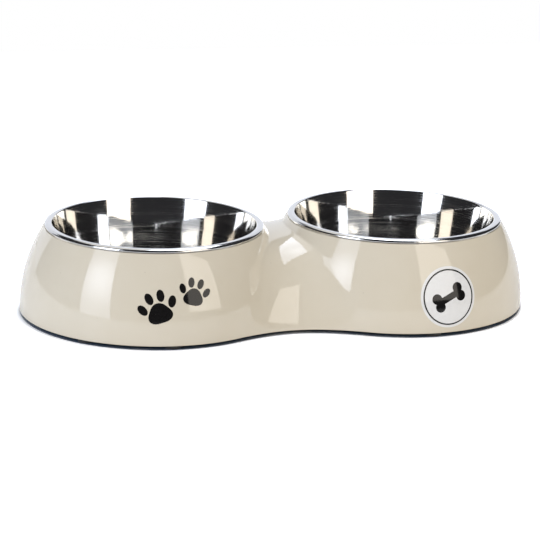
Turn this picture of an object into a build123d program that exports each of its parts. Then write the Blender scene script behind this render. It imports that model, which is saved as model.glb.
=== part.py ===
"""Double pet bowl: two steel bowls that hang by their flanges in one moulded shell on rubber feet."""
import os
from math import atan2, cos, degrees, radians, sin, sqrt, tan

from build123d import *

# Steel bowls, in millimetres and degrees
flange_diameter = 140.0
flange_gap = 20.0
flange_width = 5.7
flange_fall = 0.5
hem_lip = 0.5
shoulder_bend = 0.4
lip_bend = 0.9
sheet = 0.7
bowl_depth = 45.0
bowl_draft = 11.0
bowl_corner = 12.0
bowl_clearance = 0.6

# Moulded shell
shell_height = 54.7
skirt_flare = 16.0
waist_depth = 20.4
neck_width = 8.0
arch_power = 2.5
saddle_drop = 5.2
saddle_margin = 0.2
wall = 3.0
rim_thickness = 3.2
section_count = 9

# Rubber feet, with their angles turned from the front or back of a lobe towards its outer end
foot_diameter = 11.0
foot_height = 2.5
foot_round = 0.7
foot_inset = 1.0
foot_angles = {"inner": 2.5, "outer": 42.0}
stem_diameter = 5.0
stem_length = 7.0
stem_clearance = 0.1
boss_cap = 2.5

# Heights and radii that follow from the sizes above; the floor is at zero
flange_radius = flange_diameter / 2
lobe_offset = flange_radius + flange_gap / 2
skirt_radius = flange_radius + skirt_flare
edge_z = foot_height
rim_z = edge_z + shell_height
crest_z = rim_z - saddle_drop
side_radius = (skirt_flare**2 + shell_height**2) / (2 * skirt_flare)
lobe_places = {"left": (-lobe_offset, 0), "right": (lobe_offset, 0)}

# Bowl skin: the inside face of the steel, from the middle of the floor out to the hem
mouth_radius = flange_radius - flange_width
shoulder_radius = shoulder_bend + sheet
lip_radius = lip_bend + sheet
shoulder_z = rim_z + hem_lip + shoulder_radius
crown_z = shoulder_z + flange_fall
floor_z = crown_z - bowl_depth
floor_radius = mouth_radius - bowl_depth * tan(radians(bowl_draft))
neck_of_bowl = mouth_radius - (crown_z - rim_z) * tan(radians(bowl_draft)) + sheet / cos(radians(bowl_draft))
opening_radius = neck_of_bowl + bowl_clearance

# Feet: each stands just inside the shell's lower edge, under a boss that holds its stem
foot_radius = foot_diameter / 2
foot_reach = skirt_radius - foot_inset - foot_radius
socket_radius = stem_diameter / 2 + stem_clearance
socket_depth = stem_length + stem_clearance
boss_height = socket_depth + boss_cap
foot_places = {}
for side, sign_x in (("left", -1), ("right", 1)):
    for face, sign_y in (("front", -1), ("back", 1)):
        for name, angle in foot_angles.items():
            place_x = sign_x * (lobe_offset + foot_reach * sin(radians(angle)))
            place_y = sign_y * foot_reach * cos(radians(angle))
            foot_places[f"foot_{face}_{side}_{name}"] = (place_x, place_y)


def lobe_radius(rise):
    """Radius of a lobe at a height above the shell's lower edge: an arc, upright at the edge."""
    return skirt_radius - side_radius + sqrt(side_radius**2 - rise**2)


def peanut(radius, waist, height):
    """Section at a height: two round lobes drawn together by a concave arc at the front and the back."""
    blend = (lobe_offset**2 + waist**2 - radius**2) / (2 * (radius - waist))
    swing = degrees(atan2(waist + blend, lobe_offset))
    with BuildSketch(Plane.XY.offset(height)) as section:
        with BuildLine():
            CenterArc((0, -waist - blend), blend, 180 - swing, 2 * swing - 180)
            CenterArc((lobe_offset, 0), radius, swing - 180, 180 - swing)
            CenterArc((lobe_offset, 0), radius, 0, 180 - swing)
            CenterArc((0, waist + blend), blend, -swing, 2 * swing - 180)
            CenterArc((-lobe_offset, 0), radius, swing, 180 - swing)
            CenterArc((-lobe_offset, 0), radius, 180, 180 - swing)
        make_face()
    return section.sketch


def peanut_stack(height, inset):
    """Sections from the lower edge up to a height, with a waist that arches in to a narrow neck."""
    half_base = skirt_radius - waist_depth - inset
    drawn_in = 1 - neck_width / 2 / half_base
    sections = []
    for step in range(section_count):
        share = step / (section_count - 1)
        rise = height * share
        waist = half_base * (1 - drawn_in * share**arch_power)
        sections.append(peanut(lobe_radius(rise) - inset, waist, edge_z + rise))
    return sections


# Solid form of the shell, before it is hollowed
with BuildPart() as shell_form:
    loft(sections=peanut_stack(shell_height, 0))

# Bosses inside the lower edge, trimmed to the form
with BuildPart() as foot_bosses:
    with BuildSketch(Plane.XY.offset(edge_z)):
        with Locations(*foot_places.values()):
            Circle(foot_radius)
    extrude(amount=boss_height)
    add(shell_form.part, mode=Mode.INTERSECT)

# Shell: hollow underneath, with a round opening and a flat rim for each bowl and a dip between the rims
hollow_height = shell_height - saddle_drop - wall
rim_recess_z = rim_z - rim_thickness
saddle_half = flange_gap / 2 - saddle_margin
saddle_radius = (saddle_half**2 + saddle_drop**2) / (2 * saddle_drop)
with BuildPart() as shell:
    add(shell_form.part)
    loft(sections=peanut_stack(hollow_height, wall), mode=Mode.SUBTRACT)
    with BuildSketch(Plane.XY.offset(rim_recess_z)):
        with Locations(*lobe_places.values()):
            Circle(lobe_radius(shell_height - rim_thickness) - wall)
    extrude(amount=edge_z + hollow_height - rim_recess_z, mode=Mode.SUBTRACT)
    with BuildSketch(Plane.XY.offset(rim_z)):
        with Locations(*lobe_places.values()):
            Circle(opening_radius)
    extrude(amount=-rim_thickness, mode=Mode.SUBTRACT)
    with BuildSketch(Plane.XZ):
        with Locations((0, crest_z + saddle_radius)):
            Circle(saddle_radius)
    extrude(amount=lobe_offset, both=True, mode=Mode.SUBTRACT)
    add(foot_bosses.part)
    with BuildSketch(Plane.XY.offset(edge_z)):
        with Locations(*foot_places.values()):
            Circle(socket_radius)
    extrude(amount=socket_depth, mode=Mode.SUBTRACT)
shell.part.label = "shell"

os.makedirs("parts", exist_ok=True)
export_step(shell.part, "parts/shell.step")

# Bowls: pressed from one sheet, with a flat floor, a drafted wall and a flange that ends in a turned-down hem
for side, (centre_x, centre_y) in lobe_places.items():
    with BuildPart() as bowl:
        with BuildSketch(Plane((centre_x, centre_y, 0), x_dir=(1, 0, 0), z_dir=(0, -1, 0))):
            with BuildLine():
                FilletPolyline(
                    (0, floor_z),
                    (floor_radius, floor_z),
                    (mouth_radius, crown_z),
                    (flange_radius, shoulder_z),
                    (flange_radius, rim_z),
                    radius=[bowl_corner, lip_radius, shoulder_radius],
                )
                offset(amount=sheet, side=Side.RIGHT, closed=True)
            make_face()
        revolve(axis=Axis((centre_x, centre_y, 0), (0, 0, 1)))
    bowl.part.label = f"{side}_bowl"
    export_step(bowl.part, f"parts/{side}_bowl.step")

# Feet: a round pad on the floor and a stem that pushes up into its boss
for name, (place_x, place_y) in foot_places.items():
    with BuildPart() as foot:
        with BuildSketch(Plane((place_x, place_y, 0))):
            Circle(foot_radius)
        extrude(amount=foot_height)
        fillet(foot.edges().group_by(Axis.Z)[0], radius=foot_round)
        with BuildSketch(Plane((place_x, place_y, foot_height))):
            Circle(stem_diameter / 2)
        extrude(amount=stem_length)
    foot.part.label = name
    export_step(foot.part, f"parts/{name}.step")
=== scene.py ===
# %% [markdown]
# # A twin pet feeder
# The feeder is one glossy moulded shell with two steel bowls that hang in it and small rubber feet.
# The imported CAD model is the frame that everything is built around: its bodies carry the pieces made here.

# %% Load the frame
import math
import bpy
import numpy as np
from mathutils import Matrix, Vector


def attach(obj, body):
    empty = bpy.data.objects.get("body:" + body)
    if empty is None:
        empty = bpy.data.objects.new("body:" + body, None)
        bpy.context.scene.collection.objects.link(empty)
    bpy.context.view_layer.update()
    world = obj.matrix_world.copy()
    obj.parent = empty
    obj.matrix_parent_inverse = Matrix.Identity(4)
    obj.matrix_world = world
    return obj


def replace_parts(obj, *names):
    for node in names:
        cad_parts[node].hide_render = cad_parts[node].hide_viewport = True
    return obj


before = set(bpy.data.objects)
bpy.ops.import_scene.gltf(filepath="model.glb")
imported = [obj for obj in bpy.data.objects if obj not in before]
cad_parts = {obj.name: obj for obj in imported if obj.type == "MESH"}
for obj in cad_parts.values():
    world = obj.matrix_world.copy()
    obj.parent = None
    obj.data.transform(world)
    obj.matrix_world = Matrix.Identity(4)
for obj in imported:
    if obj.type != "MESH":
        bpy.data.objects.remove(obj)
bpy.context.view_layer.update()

# %% [markdown]
# ## Camera
# The picture was taken from the front, a little to the left and above, with a long lens that was not quite level.
# A camera can be aimed by eye, but here its place was worked out from the two flange ellipses, so it is set by
# numbers.

# %% Camera
view_turn, view_rise, view_roll = math.radians(-14.49), math.radians(15.33), math.radians(1.61)
view_target, view_distance = Vector((0, 0, 0.032)), 1.406
focal_length, sensor_width = 143.93, 36
shift_across, shift_up = -0.0088, -0.0239
view_back = Vector((math.sin(view_turn) * math.cos(view_rise),
                    -math.cos(view_turn) * math.cos(view_rise), math.sin(view_rise)))
bpy.ops.object.select_all(action="DESELECT")
bpy.ops.object.camera_add(location=view_target + view_back * view_distance)
camera = bpy.context.object
camera.rotation_euler = (view_back.to_track_quat("Z", "Y").to_matrix()
                         @ Matrix.Rotation(view_roll, 3, "Z")).to_euler()
camera.data.lens, camera.data.sensor_width = focal_length, sensor_width
camera.data.shift_x, camera.data.shift_y = shift_across, shift_up
bpy.context.scene.camera = camera
bpy.context.scene.view_settings.view_transform = "Standard"
print("camera at", [round(x, 3) for x in camera.location])

# %% [markdown]
# ## Colours and nodes
# A finish is a tree of nodes. It could be drawn by hand in the node editor, but here one function adds a node
# with its settings and links, so a tree reads from top to bottom. Colours are written as the sRGB hex codes that
# a paint program shows, and one function turns them to the linear values that light needs.


# %% Colours, nodes and materials
def colour(hex_code):
    """Linear colour of an sRGB hex code."""
    parts = [int(hex_code[i:i + 2], 16) / 255 for i in (1, 3, 5)]
    return (*[p / 12.92 if p <= 0.04045 else ((p + 0.055) / 1.055) ** 2.4 for p in parts], 1)


def add(tree, kind, inputs=None, **settings):
    """Adds a node with its settings, and fills each input with a value or a link."""
    node = tree.nodes.new(kind)
    for name, value in settings.items():
        setattr(node, name, value)
    for socket, value in (inputs or {}).items():
        if isinstance(value, bpy.types.NodeSocket):
            tree.links.new(value, node.inputs[socket])
        else:
            node.inputs[socket].default_value = value
    return node


def new_material(name):
    """An empty node material, with the tree and the output to build it on."""
    material = bpy.data.materials.new(name)
    material.use_nodes = True
    material.node_tree.nodes.clear()
    return material, material.node_tree, add(material.node_tree, "ShaderNodeOutputMaterial")


def dress(piece, material):
    """Gives a piece this material and no other."""
    piece.data.materials.clear()
    piece.data.materials.append(material)
    print(piece.name, "in", material.name)


# %% [markdown]
# ## Studio
# A product like this is shot between tall softboxes, in a tent of dark cloth, so that polished steel has something
# dark to reflect. Lamps would light it as well, but glossy plastic and steel show the panels themselves, so each
# softbox is a glowing sheet of the right size in the right place.
#
# The feeder stands on a white board. The shell's edge is so near the board that a thin dark line of shadow lies
# under it, with pure white all round. More light could make the board white, but it would bleach the feeder too.
# So the camera alone sees a paler board, with a painted navy shadow where the shell stands close over it.

# %% Floor
floor_size, floor_cloud = 1.9, 0.05
contact_reach, contact_dark, contact_clear = 0.05, 0.34, 0.74
# Above 1, so that the board stays white to the camera in this soft light
seen_white = 1.9
bpy.ops.object.select_all(action="DESELECT")
bpy.ops.mesh.primitive_plane_add(size=floor_size, location=(0, 0, 0))
floor = bpy.context.object
floor.name = "studio_floor"
floor_finish, tree, output = new_material("white_painted_board")
coords = add(tree, "ShaderNodeTexCoord")
cloud = add(tree, "ShaderNodeTexNoise", {"Vector": coords.outputs["Object"], "Scale": 1 / floor_cloud})
tone = add(tree, "ShaderNodeMix", {0: cloud.outputs["Fac"], 6: colour("#FBFBFB"), 7: colour("#FDFDFD")},
           data_type="RGBA")
board = add(tree, "ShaderNodeBsdfPrincipled", {"Base Color": tone.outputs[2], "Roughness": 0.6,
                                               "Specular IOR Level": 0.2})
# Painted shadow: to the camera, the board turns dark navy where ambient occlusion finds the shell close over it
contact = add(tree, "ShaderNodeAmbientOcclusion", {"Distance": contact_reach}, samples=16)
clear = add(tree, "ShaderNodeMapRange", {"Value": contact.outputs["AO"], "From Min": contact_dark,
                                         "From Max": contact_clear}, interpolation_type="SMOOTHSTEP")
white_with_painted_shadow = add(tree, "ShaderNodeMix", {0: clear.outputs[0], 6: colour("#4B596C"), 7: (*[seen_white] * 3, 1)},
           data_type="RGBA", clamp_result=False)
board_with_painted_shadow = add(tree, "ShaderNodeBsdfDiffuse", {"Color": white_with_painted_shadow.outputs[2]})
path = add(tree, "ShaderNodeLightPath")
paint = add(tree, "ShaderNodeMixShader", {0: path.outputs["Is Camera Ray"], 1: board.outputs[0],
                                          2: board_with_painted_shadow.outputs[0]})
tree.links.new(paint.outputs[0], output.inputs["Surface"])
dress(floor, floor_finish)

# %% [markdown]
# The surroundings are plain white to the eye and in mirrors, and a soft grey light for the rest. The tent is for
# mirrors alone: it hides the white from them, and it neither shades the feeder nor stands in the picture.

# %% Surroundings
ambient_level, white_level = 0.34, 1.0
world = bpy.data.worlds.new("white_surroundings")
bpy.context.scene.world = world
world.use_nodes = True
world.node_tree.nodes.clear()
tree = world.node_tree
path = add(tree, "ShaderNodeLightPath")
seen = add(tree, "ShaderNodeMath", {0: path.outputs["Is Camera Ray"], 1: path.outputs["Is Glossy Ray"]},
           operation="MAXIMUM")
seen = add(tree, "ShaderNodeMath", {0: seen.outputs[0], 1: path.outputs["Is Transmission Ray"]},
           operation="MAXIMUM")
level = add(tree, "ShaderNodeMapRange", {"Value": seen.outputs[0], "To Min": ambient_level,
                                         "To Max": white_level})
sky = add(tree, "ShaderNodeBackground", {"Color": colour("#FFFFFF"), "Strength": level.outputs[0]})
add(tree, "ShaderNodeOutputWorld", {"Surface": sky.outputs[0]})
print("surroundings: light", ambient_level, "and white", white_level)

# %% Tent
tent_radius, tent_height, cloth_level = 2.3, 2.6, 0.04
bpy.ops.object.select_all(action="DESELECT")
bpy.ops.mesh.primitive_cylinder_add(vertices=96, radius=tent_radius, depth=tent_height, end_fill_type="NGON",
                                    location=(0, 0, tent_height / 2))
tent = bpy.context.object
tent.name = "black_tent"
bpy.ops.object.transform_apply(location=True, rotation=True, scale=True)
bpy.ops.object.mode_set(mode="EDIT")
bpy.ops.mesh.select_mode(type="FACE")
bpy.ops.mesh.select_all(action="DESELECT")
bpy.ops.object.mode_set(mode="OBJECT")
for face in tent.data.polygons:
    face.select = face.normal.z < -0.5
bpy.ops.object.mode_set(mode="EDIT")
bpy.ops.mesh.delete(type="FACE")
bpy.ops.object.mode_set(mode="OBJECT")
tent.visible_camera = tent.visible_diffuse = tent.visible_shadow = False
tent_finish, tree, output = new_material("black_cloth")
cloth = add(tree, "ShaderNodeEmission", {"Color": colour("#F0F3FF"), "Strength": cloth_level})
tree.links.new(cloth.outputs[0], output.inputs["Surface"])
dress(tent, tent_finish)


# %% A glowing sheet
def upright(start, end, low, high):
    """Corners of an upright sheet over a line of the plan."""
    return [(*start, low), (*end, low), (*start, high), (*end, high)]


def glowing_sheet(name, corners, level, tint, hot=0.0, hot_at=(0, 0, 0), hot_reach=0.5, mirrors=None):
    """A sheet that glows towards the feeder, brighter by hot round one point, and black behind.
    With mirrors, only light that has met from the first to the second number of mirrors shows it."""
    bpy.ops.object.select_all(action="DESELECT")
    bpy.ops.mesh.primitive_plane_add(size=1)
    sheet = bpy.context.object
    sheet.name = name
    for point, corner in zip(sheet.data.vertices, corners):
        point.co = corner
    face = sheet.data.polygons[0]
    if face.normal.dot(face.center) > 0:
        sheet.data.flip_normals()
    sheet.visible_camera = False
    finish, tree, output = new_material(name + "_cloth")
    coords = add(tree, "ShaderNodeTexCoord")
    spread = add(tree, "ShaderNodeVectorMath", {0: coords.outputs["Object"], 1: hot_at}, operation="DISTANCE")
    falloff = add(tree, "ShaderNodeMapRange", {"Value": spread.outputs["Value"], "From Min": 0.0,
                                               "From Max": hot_reach, "To Min": level + hot, "To Max": level},
                  interpolation_type="SMOOTHSTEP")
    glow = add(tree, "ShaderNodeEmission", {"Color": colour(tint), "Strength": falloff.outputs[0]})
    back = add(tree, "ShaderNodeBsdfDiffuse", {"Color": colour("#151515")})
    side = add(tree, "ShaderNodeNewGeometry")
    cloth = add(tree, "ShaderNodeMixShader", {0: side.outputs["Backfacing"], 1: glow.outputs[0],
                                              2: back.outputs[0]})
    if mirrors:
        met = add(tree, "ShaderNodeLightPath").outputs["Glossy Depth"]
        enough = add(tree, "ShaderNodeMath", {0: met, 1: mirrors[0] - 0.5}, operation="GREATER_THAN")
        within = add(tree, "ShaderNodeMath", {0: met, 1: mirrors[1] + 0.5}, operation="LESS_THAN")
        shown = add(tree, "ShaderNodeMath", {0: enough.outputs[0], 1: within.outputs[0]}, operation="MULTIPLY")
        clear = add(tree, "ShaderNodeBsdfTransparent")
        cloth = add(tree, "ShaderNodeMixShader", {0: shown.outputs[0], 1: clear.outputs[0], 2: cloth.outputs[0]})
        finish.cycles.emission_sampling = "NONE"
        sheet.visible_diffuse = False
    tree.links.new(cloth.outputs[0], output.inputs["Surface"])
    dress(sheet, finish)


# %% Three softboxes: a tall one at the left, a wide one at the front and one above
daylight, lamplight = "#E9F0FF", "#FFF7EC"
left_corners = [(-1.200, -0.341, 0.01), (-0.935, -0.819, 0.01), (-1.317, -0.131, 1.65), (-1.015, -0.674, 1.65)]
right_corners = upright((0.237, -0.962), (1.026, -1.041), 0.12, 1.09)
top_corners = [(0.627, -0.278, 1.3), (0.615, 1.045, 1.3), (-0.096, 0.260, 1.3), (0.383, 1.824, 1.3)]
glowing_sheet("softbox_left", left_corners, level=3.4, tint=daylight, hot=5.6, hot_at=(-1.07, -0.57, 0.53))
glowing_sheet("softbox_right", right_corners, level=3.3, tint=lamplight)
glowing_sheet("softbox_top", top_corners, level=5.3, tint=daylight, hot=2.0, hot_at=(0.16, 0.42, 1.3),
              hot_reach=0.4)

# %% [markdown]
# A white sweep stands at the back, and a board hangs over the rims to keep them bright. Inside a polished bowl,
# light goes on from wall to wall, and there the steel also shows the white walls of the room, while its middle
# stays dark. One set of boards can't give both, because the same boards would show on the shell. So the boards
# differ in how many mirrors the light has met, and none of them lights the feeder.

# %% Boards that the first mirror shows
first_mirror, later_mirrors = (0, 1), (2, 99)
room_reach, sweep_top, wall_top = 2.25, 1.32, 1.75
sweep_posts, sweep_level, sweep_tint = (138, 166, 194, 222), 1.25, "#EEF3FF"
rim_board_corners = top_corners[2:] + [(-0.62, 0.45, 1.3), (-0.25, 1.90, 1.3)]


def post(turn):
    """Place of a post of the room in the plan, at an angle in degrees from the front."""
    return room_reach * math.sin(math.radians(turn)), -room_reach * math.cos(math.radians(turn))


glowing_sheet("rim_board", rim_board_corners, level=1.15, tint="#FFFFFF", mirrors=first_mirror)
for turn, next_turn in zip(sweep_posts, sweep_posts[1:]):
    glowing_sheet(f"white_sweep_{turn}", upright(post(turn), post(next_turn), 0, sweep_top),
                  sweep_level, sweep_tint, mirrors=first_mirror)

# %% Walls that later mirrors show: white below, and grey or dark above
white_wall_level, upper_tint = 4.8, "#E8F0FF"
# For each side: the angle of each post with the white part's height there, and the levels above the white part
walls = {"left": ([(-80, 1.088), (-118, 1.178), (-136, 1.30)], [0.85, 1.1]),
         "right": ([(56, 1.079), (102, 1.259)], [1.5]),
         "back": ([(146, 1.15), (180, 1.15), (214, 1.15)], [cloth_level, cloth_level])}
for side, (tops, upper_levels) in walls.items():
    for k, upper_level in enumerate(upper_levels):
        (turn, top), (next_turn, next_top) = tops[k:k + 2]
        start, end = post(turn), post(next_turn)
        glowing_sheet(f"white_wall_{side}_{k}", [(*start, 0), (*end, 0), (*start, top), (*end, next_top)],
                      white_wall_level, "#FFFFFF", mirrors=later_mirrors)
        glowing_sheet(f"upper_wall_{side}_{k}",
                      [(*start, top), (*end, next_top), (*start, wall_top), (*end, wall_top)],
                      upper_level, upper_tint, mirrors=later_mirrors)

# %% [markdown]
# ## Shell
# The shell is pressed from melamine in one mould. Each lobe is a dome with upright sides at the floor, and a soft
# waist joins the two and dips between the bowls. Two domes could be joined by a boolean and filleted, but the
# glossy skin shows every bump of such a joint. So the mould's form is written as one formula, a grid is laid on
# half of it, and the rest is modifiers: mirror, wall thickness and bevel.

# %% The mould's form
lobe_x = 0.080
edge_z, rim_z = 0.0025, 0.0564
opening_radius, skirt_radius, side_radius = 0.0662, 0.08597, 0.1015
# How far the skin stands off both lobes in the middle of the waist: at the lower edge, then how much closer it
# comes on the way up, and how much closer still near the top
waist_height = 0.0495
waist_gap, gap_narrows, gap_closes, closing_power, least_gap = 0.01745, 0.00495, 0.00575, 14, 0.0005
# The power that blends the lobes, and how much it falls on the way up, because a lower power is a softer blend
blend_power, blend_softens = 1.9, 0.4


def lobe_radius(z):
    """Radius of a lobe at a height: an arc that stands upright at the lower edge."""
    return skirt_radius - side_radius + math.sqrt(side_radius**2 - (z - edge_z)**2)


def depth_in(x, y, z):
    """Above zero inside the mould's form, below zero outside. The depths in the two lobes are added as powers,
    so the form swells only where both lobes are near."""
    rise = (z - edge_z) / waist_height
    gap = max(waist_gap - gap_narrows * rise - gap_closes * rise**closing_power, least_gap)
    power = blend_power - blend_softens * rise
    fill, radius = gap / (1 - 0.5 ** (1 / power)), lobe_radius(z)
    near = max(fill + radius - math.hypot(x - lobe_x, y), 0)
    far = max(fill + radius - math.hypot(x + lobe_x, y), 0)
    return (near**power + far**power) ** (1 / power) - fill


rim_radius = lobe_radius(rim_z)
print("a lobe's radius:", round(skirt_radius * 1000, 1), "mm at the edge and",
      round(rim_radius * 1000, 1), "mm at the rim")

# %% Finding the skin, and points along a line
halvings, search_reach = 44, 0.11


def halve(test, low, high):
    """The place between two values where a test stops being true."""
    for _ in range(halvings):
        middle = (low + high) / 2
        low, high = (middle, high) if test(middle) else (low, middle)
    return low


def skin_height(x, y):
    """Height of the outer skin over a point of the plan."""
    return halve(lambda z: depth_in(x, y, z) > 0, edge_z, rim_z)


def along(points, shares):
    """Points at these shares of the length of a line of points."""
    points = np.array(points)
    travel = np.concatenate([[0], np.cumsum(np.linalg.norm(np.diff(points, axis=0), axis=1))])
    return np.stack([np.interp(np.array(shares) * travel[-1], travel, points[:, k]) for k in range(3)], axis=1)


waist_y = halve(lambda y: depth_in(0, y, edge_z) > 0, 0, search_reach)
crest_z = halve(lambda z: depth_in(0, 0, z) > 0, edge_z, rim_z)
print("waist half-width", round(waist_y * 1000, 1), "mm, crest", round(crest_z * 1000, 1), "mm")

# %% Where the grid ends: the lower edge, and the arch in the middle of the waist
edge_columns, arch_columns, end_steps = 64, 24, 400
waist_angle = math.atan2(waist_y, -lobe_x)
arch = []
for step in range(end_steps + 1):
    z = edge_z + (crest_z - edge_z) * math.sin(step / end_steps * math.pi / 2)
    half_width = halve(lambda y: depth_in(0, y, z) > 0, 0, search_reach) if step < end_steps else 0
    arch.append((0, half_width, z))
edge = []
for step in range(end_steps + 1):
    turn = waist_angle * step / end_steps
    reach = halve(lambda r: depth_in(lobe_x + r * math.cos(turn), r * math.sin(turn), edge_z) > 0,
                  0, search_reach)
    edge.append((lobe_x + reach * math.cos(turn), reach * math.sin(turn), edge_z))
half_ends = np.concatenate([along(edge, np.linspace(0, 1, edge_columns + 1)),
                            along(arch, np.linspace(0, 1, arch_columns + 1))[1:]])
half_turns = np.concatenate([np.linspace(0, waist_angle, edge_columns + 1),
                             np.linspace(waist_angle, math.pi, arch_columns + 1)[1:]])
print("half a lobe has", len(half_ends), "columns")

# %% A column of the grid for each direction: over the rim, then down the skin
skin_rows, line_steps = 30, 80
ring_radii = [opening_radius, (opening_radius + rim_radius) / 2]
half_columns = []
for turn, end in zip(half_turns, half_ends):
    outwards = np.array((math.cos(turn), math.sin(turn)))
    start = np.array((lobe_x, 0)) + rim_radius * outwards
    line = [(*start, rim_z)]
    for step in range(1, line_steps):
        # Steps get shorter towards the lower end, where the skin is steep
        plan = start + (end[:2] - start) * (1 - (1 - step / line_steps) ** 2)
        line.append((*plan, skin_height(*plan)))
    line.append(end)
    ring = [(lobe_x + r * outwards[0], r * outwards[1], rim_z) for r in ring_radii]
    half_columns.append(np.concatenate([ring, along(line, np.linspace(0, 1, skin_rows + 1))]))
mirrored = [column * (1, -1, 1) for column in half_columns[-2:0:-1]]
cage = half_columns + mirrored
print("a lobe has", len(cage), "columns of", len(cage[0]), "points")

# %% [markdown]
# Blender's operators act on whatever is selected, so each step first selects one object. Modifiers could be left
# live on a piece, but one that is applied at once leaves a plain mesh, which is easy to measure and to export.

# %% Selecting, modifying, joining and smoothing
merge_reach = 1e-6


def only(piece):
    """Leaves one object selected and active, as a click on it does."""
    bpy.ops.object.select_all(action="DESELECT")
    piece.select_set(True)
    bpy.context.view_layer.objects.active = piece


def modify(piece, kind, **settings):
    """Adds a modifier with these settings and applies it."""
    only(piece)
    modifier = piece.modifiers.new(kind, kind)
    for name, value in settings.items():
        setattr(modifier, name, value)
    bpy.ops.object.modifier_apply(modifier=modifier.name)


def join(pieces):
    """Makes one object of several, under the first one's name."""
    bpy.ops.object.select_all(action="DESELECT")
    for piece in pieces:
        piece.select_set(True)
    bpy.context.view_layer.objects.active = pieces[0]
    bpy.ops.object.join()
    return pieces[0]


def close_seams(piece):
    """Merges doubled points and turns all faces outwards."""
    only(piece)
    bpy.ops.object.mode_set(mode="EDIT")
    bpy.ops.mesh.select_mode(type="VERT")
    bpy.ops.mesh.select_all(action="SELECT")
    bpy.ops.mesh.remove_doubles(threshold=merge_reach)
    bpy.ops.mesh.normals_make_consistent(inside=False)
    bpy.ops.object.mode_set(mode="OBJECT")


def smooth(piece, angle):
    """Shades a piece smooth, apart from edges sharper than an angle in degrees."""
    only(piece)
    bpy.ops.object.shade_smooth_by_angle(angle=math.radians(angle))
    print(piece.name, len(piece.data.polygons), "faces")


# %% Lay a grid on the form, and mirror it
mirror_reach = 1e-5
columns, rows = len(cage), len(cage[0]) - 1
bpy.ops.object.select_all(action="DESELECT")
bpy.ops.mesh.primitive_grid_add(x_subdivisions=columns, y_subdivisions=rows, size=1)
shell = bpy.context.object
shell.name = "shell_moulding"
for point in shell.data.vertices:
    column, row = round((point.co.x + 0.5) * columns), round((point.co.y + 0.5) * rows)
    point.co = cage[column % columns][row]
close_seams(shell)
modify(shell, "MIRROR", use_axis=(True, False, False), merge_threshold=mirror_reach)
close_seams(shell)
tip = max(shell.data.polygons, key=lambda face: face.center.x)
print("skin", len(shell.data.polygons), "faces, tip faces outwards:", tip.normal.x > 0)

# %% Give the skin its wall, then round its edges
wall_thickness, edge_round, sharp_angle = 0.003, 0.0009, 65
modify(shell, "SOLIDIFY", thickness=wall_thickness, offset=-1, use_even_offset=True, use_quality_normals=True)
modify(shell, "BEVEL", width=edge_round, segments=3, limit_method="ANGLE", angle_limit=math.radians(sharp_angle))
print("walled", len(shell.data.polygons), "faces")

# %% [markdown]
# Under the edge, eight short bosses take the stems of the feet. They could be extruded from the inner wall, but a
# boss is a turned shape, so one is spun from its section, copied to the eight places and joined to the wall by a
# boolean.


# %% Turning a shape from its section
def lathe(name, section, axis_x, axis_y, steps):
    """Draws a section as a chain of points and spins it about an upright axis."""
    bpy.ops.object.select_all(action="DESELECT")
    bpy.ops.mesh.primitive_plane_add(size=0.01)
    piece = bpy.context.object
    piece.name = name
    bpy.ops.object.mode_set(mode="EDIT")
    bpy.ops.mesh.select_mode(type="VERT")
    bpy.ops.mesh.select_all(action="SELECT")
    bpy.ops.mesh.merge(type="CENTER")
    bpy.ops.transform.translate(value=(axis_x + section[0][0], axis_y, section[0][1]))
    for here, there in zip(section, section[1:]):
        bpy.ops.mesh.extrude_vertices_move(
            TRANSFORM_OT_translate={"value": (there[0] - here[0], 0, there[1] - here[1])})
    bpy.ops.mesh.select_all(action="SELECT")
    bpy.ops.mesh.spin(steps=steps, angle=2 * math.pi, center=(axis_x, axis_y, 0), axis=(0, 0, 1))
    bpy.ops.object.mode_set(mode="OBJECT")
    close_seams(piece)
    return piece


# %% Bosses for the feet
boss_low, boss_high, socket_high = 0.0026, 0.0121, 0.0097
boss_radius, socket_radius, boss_steps = 0.0055, 0.0026, 32
inner_foot, outer_foot = (0.08347, 0.07942), (0.13320, 0.05908)
boss_section = [(0, socket_high), (socket_radius, socket_high), (socket_radius, boss_low),
                (boss_radius, boss_low), (boss_radius, boss_high), (0, boss_high)]
foot_places = [(x * left_or_right, y * front_or_back) for x, y in (inner_foot, outer_foot)
               for left_or_right in (-1, 1) for front_or_back in (-1, 1)]
bosses = [lathe("boss", boss_section, 0, 0, boss_steps)]
while len(bosses) < len(foot_places):
    only(bosses[0])
    bpy.ops.object.duplicate()
    bosses.append(bpy.context.object)
for boss, place in zip(bosses, foot_places):
    boss.location = (*place, 0)
    only(boss)
    bpy.ops.object.transform_apply(location=True, rotation=True, scale=True)
all_bosses = join(bosses)
modify(shell, "BOOLEAN", operation="UNION", object=all_bosses, solver="EXACT")
bpy.data.objects.remove(all_bosses)
smooth(shell, angle=40)
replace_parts(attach(shell, "shell"), "shell")

# %% [markdown]
# ## Steel bowls
# Each bowl is deep-drawn from one steel sheet: a flat floor, a drafted wall and a flange whose edge is rolled
# under. It is round, so its section is drawn as a chain of extruded points and spun about the bowl's axis, as on
# a lathe. A Solidify modifier could give the sheet its thickness, but it can't follow the tight roll at the edge,
# so the chain goes out along the upper face and back along the lower one.

# %% Bends and walls of a section
draft = 11
wall_slope = math.tan(math.radians(draft))
mouth_radius, mouth_z = 0.06525, 0.0580


def bend(centre, radius, start, end, steps):
    """Points of a rounded bend in the section, between two angles in degrees."""
    turns = [math.radians(start + (end - start) * k / steps) for k in range(steps + 1)]
    return [(centre[0] + radius * math.cos(t), centre[1] + radius * math.sin(t)) for t in turns]


def wall_line(heights, offset):
    """Points of the drafted wall at these heights, moved out by an offset."""
    return [(mouth_radius + (z - mouth_z) * wall_slope + offset, z) for z in heights]


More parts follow.
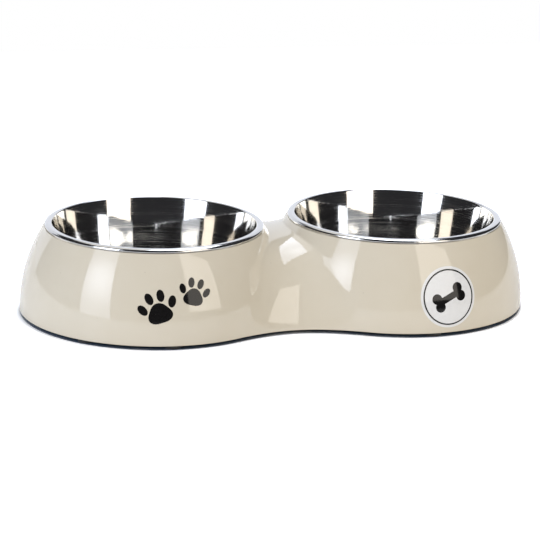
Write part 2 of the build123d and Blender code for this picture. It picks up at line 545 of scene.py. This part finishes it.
# %% The section of a bowl: floor, corner, wall, neck and flange, and back under the sheet
bowl_floor_z, crown_z, sheet_thickness = 0.0143, 0.0589, 0.0007
floor_radii, wall_heights = [0, 0.016, 0.032], [0.031, 0.040, 0.049]
corner, corner_radius = (0.04686, 0.0263), 0.012
neck, neck_radius = (0.066085, 0.0581), 0.0008
dome, dome_radius = (0.06751, 0.0554), 0.0035
roll, roll_radius = (0.06865, 0.057223), 0.00135
roll_start, roll_end = 58, -10
turned_under = [(0.0696, 0.05688), (0.0689, 0.05685), (0.0688, 0.05642), (0.0681, 0.05642), (0.0681, 0.0575),
                (0.0672, crown_z - sheet_thickness)]
bowl_section = [(r, bowl_floor_z) for r in floor_radii]
bowl_section += bend(corner, corner_radius, -90, -draft, steps=10) + wall_line(wall_heights, offset=0)
bowl_section += bend(neck, neck_radius, 180 - draft, 90, steps=7)
bowl_section += bend(dome, dome_radius, 90, roll_start, steps=8)
bowl_section += bend(roll, roll_radius, roll_start, roll_end, steps=9)[1:]
bowl_section += turned_under
bowl_section += bend(neck, neck_radius - sheet_thickness, 90, 180 - draft, steps=4)
bowl_section += wall_line(wall_heights[::-1], sheet_thickness / math.cos(math.radians(draft)))
bowl_section += bend(corner, corner_radius + sheet_thickness, -draft, -90, steps=10)
bowl_section += [(r, bowl_floor_z - sheet_thickness) for r in floor_radii[::-1]]
print("bowl section", len(bowl_section), "points, depth",
      round((max(z for r, z in bowl_section) - bowl_floor_z) * 1000, 1), "mm")

# %% Spin it for each lobe
bowl_steps = 192
bowl_axes = {"left": -lobe_x, "right": lobe_x}
bowls = {}
for side, axis_x in bowl_axes.items():
    bowl = lathe(f"{side}_steel_bowl", bowl_section, axis_x, 0, bowl_steps)
    smooth(bowl, angle=35)
    bowls[side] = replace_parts(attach(bowl, f"{side}_bowl"), f"{side}_bowl")

# %% [markdown]
# ## Prints
# The two small prints are foils that are fused into the glossy skin in the press. They could be painted in the
# shell's material, but a small print in a pattern for the whole shell comes out coarse. So each print is a very
# thin skin of its own: a sheet is laid on the lobe, and a boolean keeps what lies inside a cutter, as a die stamps
# a foil.

# %% A sheet on a lobe
foil_thickness, foil_arc = 0.00012, 40
foil_middle_z, foil_height = 0.0265, 0.046
foil_columns, foil_rows = 40, 32


def foil_sheet(name, axis_x, turn, lift):
    """A thin sheet on the front of a lobe, round a direction in degrees and just proud of the skin."""
    bpy.ops.object.select_all(action="DESELECT")
    bpy.ops.mesh.primitive_grid_add(x_subdivisions=foil_columns, y_subdivisions=foil_rows, size=1)
    sheet = bpy.context.object
    sheet.name = name
    for point in sheet.data.vertices:
        angle, z = math.radians(turn + foil_arc * point.co.x), foil_middle_z + foil_height * point.co.y
        reach = lobe_radius(z) + lift
        point.co = (axis_x + reach * math.sin(angle), -reach * math.cos(angle), z)
    modify(sheet, "SOLIDIFY", thickness=foil_thickness, offset=-1)
    return sheet


# %% A cutter through it
cut_start, cut_depth = 0.05, 0.06


def cutter(outlines, axis_x, turn, z):
    """Blocks with these outlines, in metres across and up, that reach through the front of a lobe."""
    angle = math.radians(turn)
    across = Vector((math.cos(angle), math.sin(angle), 0))
    outwards = Vector((math.sin(angle), -math.cos(angle), 0))
    blocks = []
    for outline in outlines:
        bpy.ops.object.select_all(action="DESELECT")
        bpy.ops.mesh.primitive_circle_add(vertices=len(outline), fill_type="NGON")
        block = bpy.context.object
        for point, (u, v) in zip(block.data.vertices, outline):
            point.co = Vector((axis_x, 0, z + v)) + across * u + outwards * cut_start
        bpy.ops.object.mode_set(mode="EDIT")
        bpy.ops.mesh.select_all(action="SELECT")
        bpy.ops.mesh.extrude_region_move(TRANSFORM_OT_translate={"value": outwards * cut_depth})
        bpy.ops.object.mode_set(mode="OBJECT")
        close_seams(block)
        blocks.append(block)
    return join(blocks)


def stamp(sheet, outlines, axis_x, turn, z, operation="INTERSECT"):
    """Keeps or removes what lies inside the outlines."""
    block = cutter(outlines, axis_x, turn, z)
    modify(sheet, "BOOLEAN", operation=operation, object=block, solver="EXACT")
    bpy.data.objects.remove(block)
    return sheet


# %% Outlines: ovals, a paw and a bone
def turned(outline, u, v, tilt):
    """An outline turned by an angle in degrees and moved to a place."""
    turn = math.radians(tilt)
    return [(u + a * math.cos(turn) - b * math.sin(turn), v + a * math.sin(turn) + b * math.cos(turn))
            for a, b in outline]


def oval(half_width, half_height, points=48):
    """An oval round the middle."""
    turns = [2 * math.pi * k / points for k in range(points)]
    return [(half_width * math.cos(t), half_height * math.sin(t)) for t in turns]


def paw(u, v, size, tilt):
    """A paw print: a soft three-cornered pad and four toes, all in shares of its size."""
    pad, points = [], 72
    for k in range(points):
        angle = 2 * math.pi * k / points
        reach = size * (1 - 0.10 * math.sin(3 * angle))
        pad.append((1.12 * reach * math.cos(angle), 0.92 * reach * math.sin(angle) - 0.25 * size))
    toes = [turned(oval(size * 0.36, size * 0.54), size * a, size * b, lean)
            for a, b, lean in ((-1.42, 0.50, 28), (-0.55, 1.30, 9), (0.55, 1.30, -9), (1.42, 0.50, -28))]
    return [turned(outline, u, v, tilt) for outline in [pad] + toes]


def bone(half_length, knob, spread, half_shaft, tilt):
    """A bone: a shaft with two knobs at each end."""
    dip, root = math.sqrt(knob**2 - spread**2), math.sqrt(knob**2 - (spread - half_shaft)**2)
    start = math.degrees(math.atan2(half_shaft - spread, -root)) % 360
    end = math.degrees(math.atan2(-spread, dip))
    steps = 24
    turns = [math.radians(start + (end - start) * k / steps) for k in range(steps + 1)]
    upper = [(half_length + knob * math.cos(t), spread + knob * math.sin(t)) for t in turns]
    lower = [(a, -b) for a, b in upper[-2::-1]]
    half = upper + lower
    return turned(half + [(-a, -b) for a, b in half], 0, 0, tilt)


# %% Stamp the prints
left_turn, left_z = -2.0, 0.0275
right_turn, right_z = 8.5, 0.0245
badge_radius, ring_outer, ring_inner, ring_points = 0.0188, 0.0172, 0.0163, 128
paws_lift, badge_lift, lines_lift = 0.00007, 0.00005, 0.00008
paws = (paw(u=-0.0098, v=-0.0035, size=0.0066, tilt=17)
        + paw(u=0.0118, v=0.0052, size=0.0054, tilt=-14))
bone_outline = bone(half_length=0.0078, knob=0.0033, spread=0.0027, half_shaft=0.0021, tilt=24)
left_print = stamp(foil_sheet("left_print", -lobe_x, left_turn, paws_lift), paws, -lobe_x, left_turn, left_z)
badge = stamp(foil_sheet("right_print_ground", lobe_x, right_turn, badge_lift),
              [oval(badge_radius, badge_radius, ring_points)], lobe_x, right_turn, right_z)
ring = stamp(foil_sheet("right_print_lines", lobe_x, right_turn, lines_lift),
             [oval(ring_outer, ring_outer, ring_points)], lobe_x, right_turn, right_z)
stamp(ring, [oval(ring_inner, ring_inner, ring_points)], lobe_x, right_turn, right_z, "DIFFERENCE")
bone_foil = stamp(foil_sheet("bone", lobe_x, right_turn, lines_lift),
                  [bone_outline], lobe_x, right_turn, right_z)
badge_lines = join([ring, bone_foil])
for foil in (left_print, badge, badge_lines):
    smooth(foil, angle=40)
    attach(foil, "shell")

# %% [markdown]
# ## Finishes
# Moulded melamine is hard and very glossy, a warm beige with fine dark flecks that lie through the whole moulding.
# A flat colour with gloss would do from far away. Flecks and a slight cloudiness make it the real material, and
# they come from 3-D patterns on Object coordinates, so they need no seams.

# %% Moulded melamine: sharp reflections with a slight ripple, over a soft warm body
cloud_size, ripple_size = 0.018, 0.012
fleck_gap, fleck_size = 0.009, 0.00028
melamine, tree, output = new_material("moulded_melamine")
coords = add(tree, "ShaderNodeTexCoord")
cloud = add(tree, "ShaderNodeTexNoise", {"Vector": coords.outputs["Object"], "Scale": 1 / cloud_size,
                                         "Detail": 3.0})
beige = add(tree, "ShaderNodeMix", {0: cloud.outputs["Fac"], 6: colour("#CFC5B0"), 7: colour("#D3CAB7")},
            data_type="RGBA")
cells = add(tree, "ShaderNodeTexVoronoi", {"Vector": coords.outputs["Object"], "Scale": 1 / fleck_gap})
fleck = add(tree, "ShaderNodeMapRange", {"Value": cells.outputs["Distance"],
                                         "From Min": 0.6 * fleck_size / fleck_gap,
                                         "From Max": fleck_size / fleck_gap, "To Min": 0.5, "To Max": 0.0})
body = add(tree, "ShaderNodeMix", {0: fleck.outputs[0], 6: beige.outputs[2], 7: colour("#6E6252")},
           data_type="RGBA")
ripple = add(tree, "ShaderNodeTexNoise", {"Vector": coords.outputs["Object"], "Scale": 1 / ripple_size,
                                          "Detail": 1.0})
relief = add(tree, "ShaderNodeBump", {"Height": ripple.outputs["Fac"], "Strength": 0.04, "Distance": 0.0002})
gloss = add(tree, "ShaderNodeMapRange", {"Value": cloud.outputs["Fac"], "To Min": 0.03, "To Max": 0.06})
skin = add(tree, "ShaderNodeBsdfPrincipled", {"Base Color": body.outputs[2], "Roughness": gloss.outputs[0],
                                              "Normal": relief.outputs[0], "IOR": 1.5})
tree.links.new(skin.outputs[0], output.inputs["Surface"])
dress(shell, melamine)

# %% [markdown]
# The prints are inks on a melamine foil under the same gloss, a soft black and a pale grey. One even tone would
# look like a hole in the shell. Printed ink is never quite even, so a fine cloud of tone lies in each.

# %% Printed foil: flat even ink with the shell's shine on it
# Real ink mottles at about 0.3 mm, which is too fine to show, so it is drawn five times coarser.
ink_mottle = 0.0015


def printed_foil(name, dark, light):
    """Ink between two tones under the shell's own gloss."""
    foil, tree, output = new_material(name)
    coords = add(tree, "ShaderNodeTexCoord")
    cloud = add(tree, "ShaderNodeTexNoise", {"Vector": coords.outputs["Object"], "Scale": 1 / ink_mottle,
                                             "Detail": 3.0})
    ink = add(tree, "ShaderNodeMix", {0: cloud.outputs["Fac"], 6: colour(dark), 7: colour(light)},
              data_type="RGBA")
    gloss = add(tree, "ShaderNodeMapRange", {"Value": cloud.outputs["Fac"], "To Min": 0.04, "To Max": 0.09})
    skin = add(tree, "ShaderNodeBsdfPrincipled", {"Base Color": ink.outputs[2], "Roughness": gloss.outputs[0],
                                                  "IOR": 1.35})
    tree.links.new(skin.outputs[0], output.inputs["Surface"])
    return foil


black_foil = printed_foil("black_printed_foil", "#111010", "#1A1918")
dress(left_print, black_foil)
dress(badge_lines, black_foil)
dress(badge, printed_foil("grey_printed_foil", "#DAD9D6", "#E2E1DE"))

# %% [markdown]
# Polished stainless steel keeps a faint turned grain from the polishing wheel and long soft waves from the press.
# Plain gloss would make it a perfect mirror. The grain runs round the bowl, so its pattern is a noise of radius
# plus height, centred on each bowl's own axis.

# %% Polished steel: a bright mirror, slightly wavy, with fine lines round the bowl
# Polishing lines are about 0.05 mm apart, which is too fine to show, so they are drawn at 0.7 mm.
grain_gap, wave_size = 0.0007, 0.022


def turned_steel(name, axis_x):
    """Stainless steel with a turned grain about an upright axis."""
    steel, tree, output = new_material(name)
    coords = add(tree, "ShaderNodeTexCoord")
    centred = add(tree, "ShaderNodeMapping", {"Vector": coords.outputs["Object"], "Location": (-axis_x, 0, 0)})
    flat = add(tree, "ShaderNodeVectorMath", {0: centred.outputs[0], 1: (1, 1, 0)}, operation="MULTIPLY")
    radius = add(tree, "ShaderNodeVectorMath", {0: flat.outputs[0]}, operation="LENGTH")
    parts = add(tree, "ShaderNodeSeparateXYZ", {0: centred.outputs[0]})
    travel = add(tree, "ShaderNodeMath", {0: radius.outputs["Value"], 1: parts.outputs["Z"]}, operation="ADD")
    grain = add(tree, "ShaderNodeTexNoise", {"W": travel.outputs[0], "Scale": 1 / grain_gap, "Detail": 2.0},
                noise_dimensions="1D")
    wave = add(tree, "ShaderNodeTexNoise", {"Vector": centred.outputs[0], "Scale": 1 / wave_size, "Detail": 2.0})
    waved = add(tree, "ShaderNodeBump", {"Height": wave.outputs["Fac"], "Strength": 0.25, "Distance": 0.0004})
    grained = add(tree, "ShaderNodeBump", {"Height": grain.outputs["Fac"], "Strength": 0.05, "Distance": 0.00005,
                                           "Normal": waved.outputs[0]})
    rough = add(tree, "ShaderNodeMapRange", {"Value": grain.outputs["Fac"], "From Min": 0.45, "From Max": 0.75,
                                             "To Min": 0.03, "To Max": 0.15}, interpolation_type="SMOOTHSTEP")
    sheen = add(tree, "ShaderNodeBsdfPrincipled", {"Base Color": colour("#C9C7C3"), "Metallic": 1.0,
                                                   "Roughness": rough.outputs[0], "Normal": grained.outputs[0]})
    tree.links.new(sheen.outputs[0], output.inputs["Surface"])
    return steel


for side, axis_x in bowl_axes.items():
    dress(bowls[side], turned_steel(f"turned_stainless_steel_{side}", axis_x))

# %% [markdown]
# The feet are small dark rubber pads, and the CAD model already has their shape, so they only need a finish.
# Plain black would do in the shadow, but rubber is matt, and its surface has the fine grain of an eroded mould.

# %% Moulded rubber: matt and almost black, with a fine grit that catches a little light
# The grit of an eroded mould is about 0.05 mm, which is too fine to show, so it is drawn at 0.6 mm.
grit_size = 0.0006
rubber, tree, output = new_material("moulded_rubber")
coords = add(tree, "ShaderNodeTexCoord")
grit = add(tree, "ShaderNodeTexNoise", {"Vector": coords.outputs["Object"], "Scale": 1 / grit_size,
                                        "Detail": 2.0})
tone = add(tree, "ShaderNodeMix", {0: grit.outputs["Fac"], 6: colour("#161617"), 7: colour("#222223")},
           data_type="RGBA")
relief = add(tree, "ShaderNodeBump", {"Height": grit.outputs["Fac"], "Strength": 0.3, "Distance": 0.0001})
matt = add(tree, "ShaderNodeBsdfPrincipled", {"Base Color": tone.outputs[2], "Roughness": 0.6,
                                              "Normal": relief.outputs[0]})
tree.links.new(matt.outputs[0], output.inputs["Surface"])
for name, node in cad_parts.items():
    if name.startswith("foot_"):
        dress(node, rubber)
